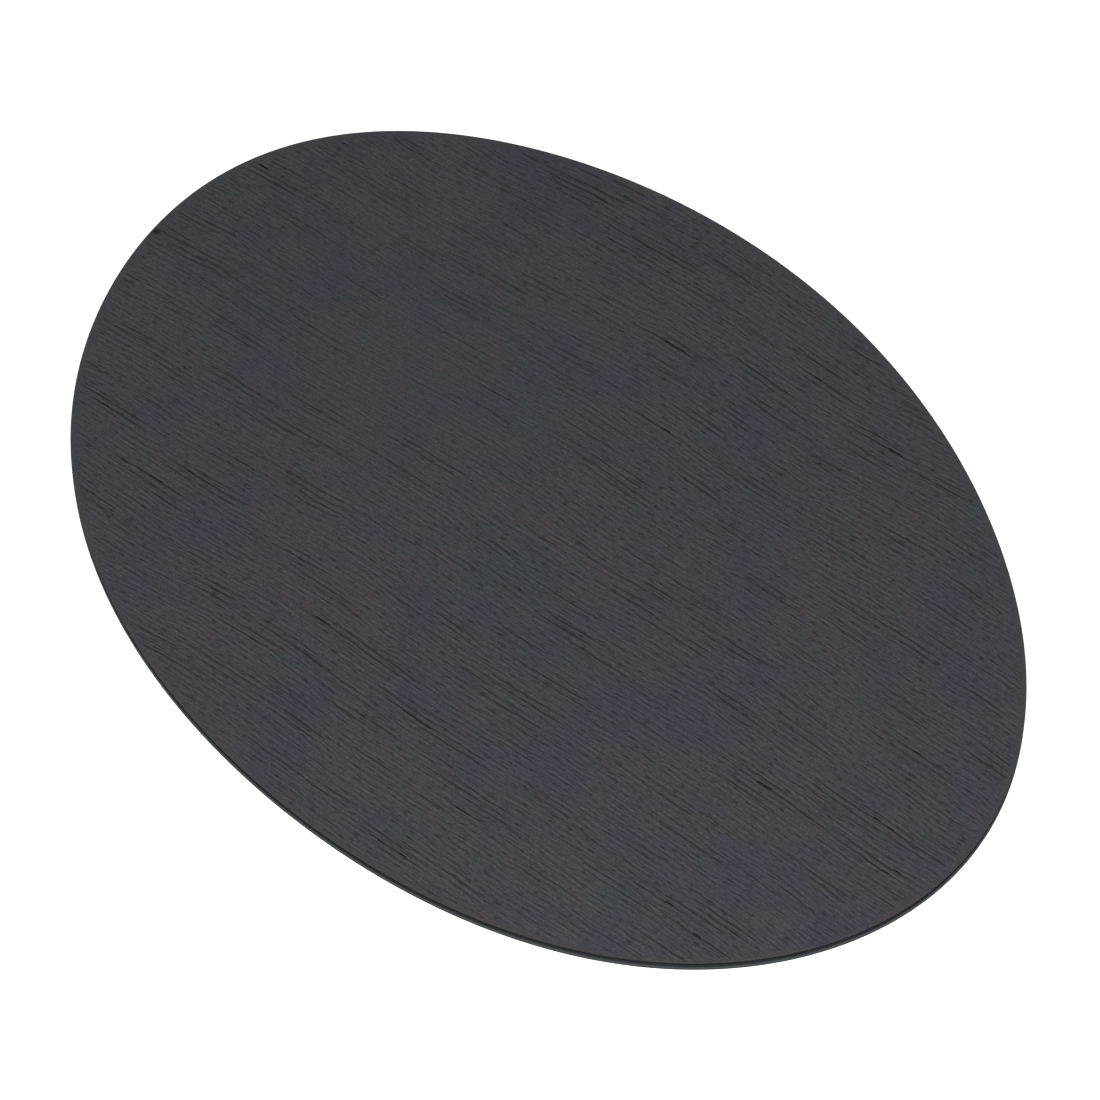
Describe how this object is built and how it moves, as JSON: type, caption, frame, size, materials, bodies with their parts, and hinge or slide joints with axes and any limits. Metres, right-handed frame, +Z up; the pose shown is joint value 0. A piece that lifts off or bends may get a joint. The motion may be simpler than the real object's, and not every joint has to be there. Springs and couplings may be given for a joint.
{
  "type": "oval table mat",
  "caption": "Thin stiff oval table mat: streaked charcoal face film, dark edge band set back under it, board core and flat grip backing.",
  "frame": {"origin": "on the table plane, under the centre of the mat's outline", "axes": "+X along the mat's length, +Y across its width, +Z up, out of the embossed face"},
  "size_m": [0.46, 0.33, 0.0045],
  "materials": {
    "charcoal_film": "satin, embossed with fine streaks",
    "black_band": "matt",
    "grey_fibre_board": "pressed fibre, matt",
    "clear_glue": "thin hot-melt film",
    "black_grip_sheet": "fine grained foamed rubber, matt"
  },
  "bodies": {
    "root": {"grip_backing": "black_grip_sheet", "lower_glue_film": "clear_glue", "fibre_board_core": "grey_fibre_board", "upper_glue_film": "clear_glue", "edge_band": "black_band", "embossed_skin": "charcoal_film"}
  },
  "joints": []
}
